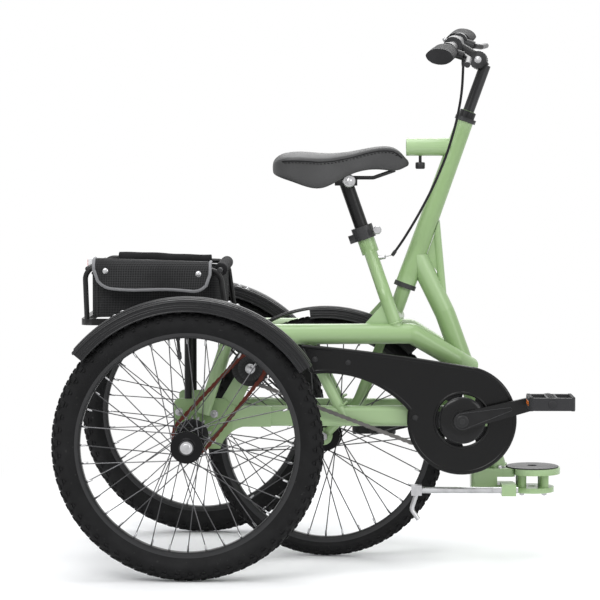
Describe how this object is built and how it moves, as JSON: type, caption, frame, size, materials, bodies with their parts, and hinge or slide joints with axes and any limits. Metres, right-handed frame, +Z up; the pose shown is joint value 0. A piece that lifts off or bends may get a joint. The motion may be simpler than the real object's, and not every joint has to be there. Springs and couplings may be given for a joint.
{
  "type": "rehabilitation tricycle",
  "caption": "Rehabilitation tricycle with a steered wheel under the rider, a chain-driven rear axle, saddle, reversed stem, luggage basket and a coupling at the front end.",
  "frame": {"origin": "on the floor under the middle of the bounding box", "axes": "+X is forward, +Y is to the rider's left, +Z is up"},
  "size_m": [0.9826, 0.715, 1.0534],
  "materials": {
    "frame_paint": "satin paint",
    "plate_paint": "satin paint",
    "fork_paint": "satin paint",
    "tyre": "matt",
    "rim": "black anodised",
    "spoke": "bright",
    "steel": "satin",
    "black_metal": "satin black",
    "black_alloy": "black anodised",
    "coupling_paint": "satin paint",
    "chain": "oiled",
    "rust_chain": "brown",
    "guard": "satin",
    "fender": "ribbed",
    "grip": "matt",
    "saddle": "smooth",
    "basket": "woven",
    "foam": "foam",
    "cable": "smooth",
    "pedal_grey": "matt",
    "pedal_black": "matt"
  },
  "bodies": {
    "frame": {"axle_chain": "rust_chain", "axle_plate_left": "plate_paint", "axle_plate_right": "plate_paint", "basket": "basket", "basket_flap": "basket", "basket_foam": "foam", "basket_frame": "black_metal", "bottom_bracket": "frame_paint", "brace_left": "frame_paint", "brace_right": "frame_paint", "chain_guard": "guard", "clamp_rod": "steel", "coupling_block": "coupling_paint", "coupling_plate": "coupling_paint", "cross_tube": "frame_paint", "down_tube": "frame_paint", "drive_chain": "chain", "front_brace": "frame_paint", "gear_bracket": "plate_paint", "head_tube": "frame_paint", "hub_gear": "steel", "lower_rail_left": "frame_paint", "lower_rail_right": "frame_paint", "rear_fender_left": "fender", "rear_fender_right": "fender", "saddle": "saddle", "saddle_rails": "steel", "seat_clamp": "black_alloy", "seat_post": "steel", "seat_tube": "frame_paint", "stay_left": "frame_paint", "stay_right": "frame_paint", "upper_tube_left": "frame_paint", "upper_tube_right": "frame_paint"},
    "rear_axle_right": {"rear_axle": "steel", "rear_tyre_right": "tyre", "rear_rim_right": "rim", "rear_hub_right": "spoke"},
    "rear_left": {"rear_tyre_left": "tyre", "rear_rim_left": "rim", "rear_hub_left": "spoke"},
    "steering": {"fork": "fork_paint", "front_axle": "steel", "front_fender": "fender", "headset": "black_alloy", "stem": "black_alloy", "handlebar": "black_alloy", "brake_cable": "cable", "grip_right": "grip", "grip_left": "grip", "brake_lever_right": "black_alloy", "brake_lever_left": "black_alloy"},
    "front_wheel": {"front_tyre": "tyre", "front_rim": "rim", "front_hub": "spoke"},
    "crank": {"crank_right": "black_alloy", "crank_left": "black_alloy", "chainring": "black_alloy"},
    "pedal_right": {"pedal_right": "pedal_grey"},
    "pedal_left": {"pedal_left": "pedal_black"}
  },
  "joints": [
    {"name": "rear_axle_turn", "type": "hinge", "parent": "frame", "child": "rear_axle_right", "pos_m": [-0.23733, 0, 0.254], "axis": [0, 1, 0], "continuous": true},
    {"name": "rear_left_turn", "type": "hinge", "parent": "frame", "child": "rear_left", "pos_m": [-0.23733, 0.31, 0.254], "axis": [0, 1, 0], "continuous": true},
    {"name": "steer", "type": "hinge", "parent": "frame", "child": "steering", "pos_m": [0.17717, 0, 0.54], "axis": [0.3397, 0, 0.9405], "range_deg": [-2, 18]},
    {"name": "front_wheel_turn", "type": "hinge", "parent": "steering", "child": "front_wheel", "pos_m": [0.02009, 0.00633, 0.23776], "axis": [0.1309, 0.9903, -0.0473], "continuous": true},
    {"name": "crank_turn", "type": "hinge", "parent": "frame", "child": "crank", "pos_m": [0.28267, 0, 0.28], "axis": [0, 1, 0], "continuous": true},
    {"name": "pedal_right_turn", "type": "hinge", "parent": "crank", "child": "pedal_right", "pos_m": [0.44733, -0.17, 0.32228], "axis": [0, 1, 0], "continuous": true},
    {"name": "pedal_left_turn", "type": "hinge", "parent": "crank", "child": "pedal_left", "pos_m": [0.11801, 0.17, 0.23772], "axis": [0, 1, 0], "continuous": true}
  ]
}
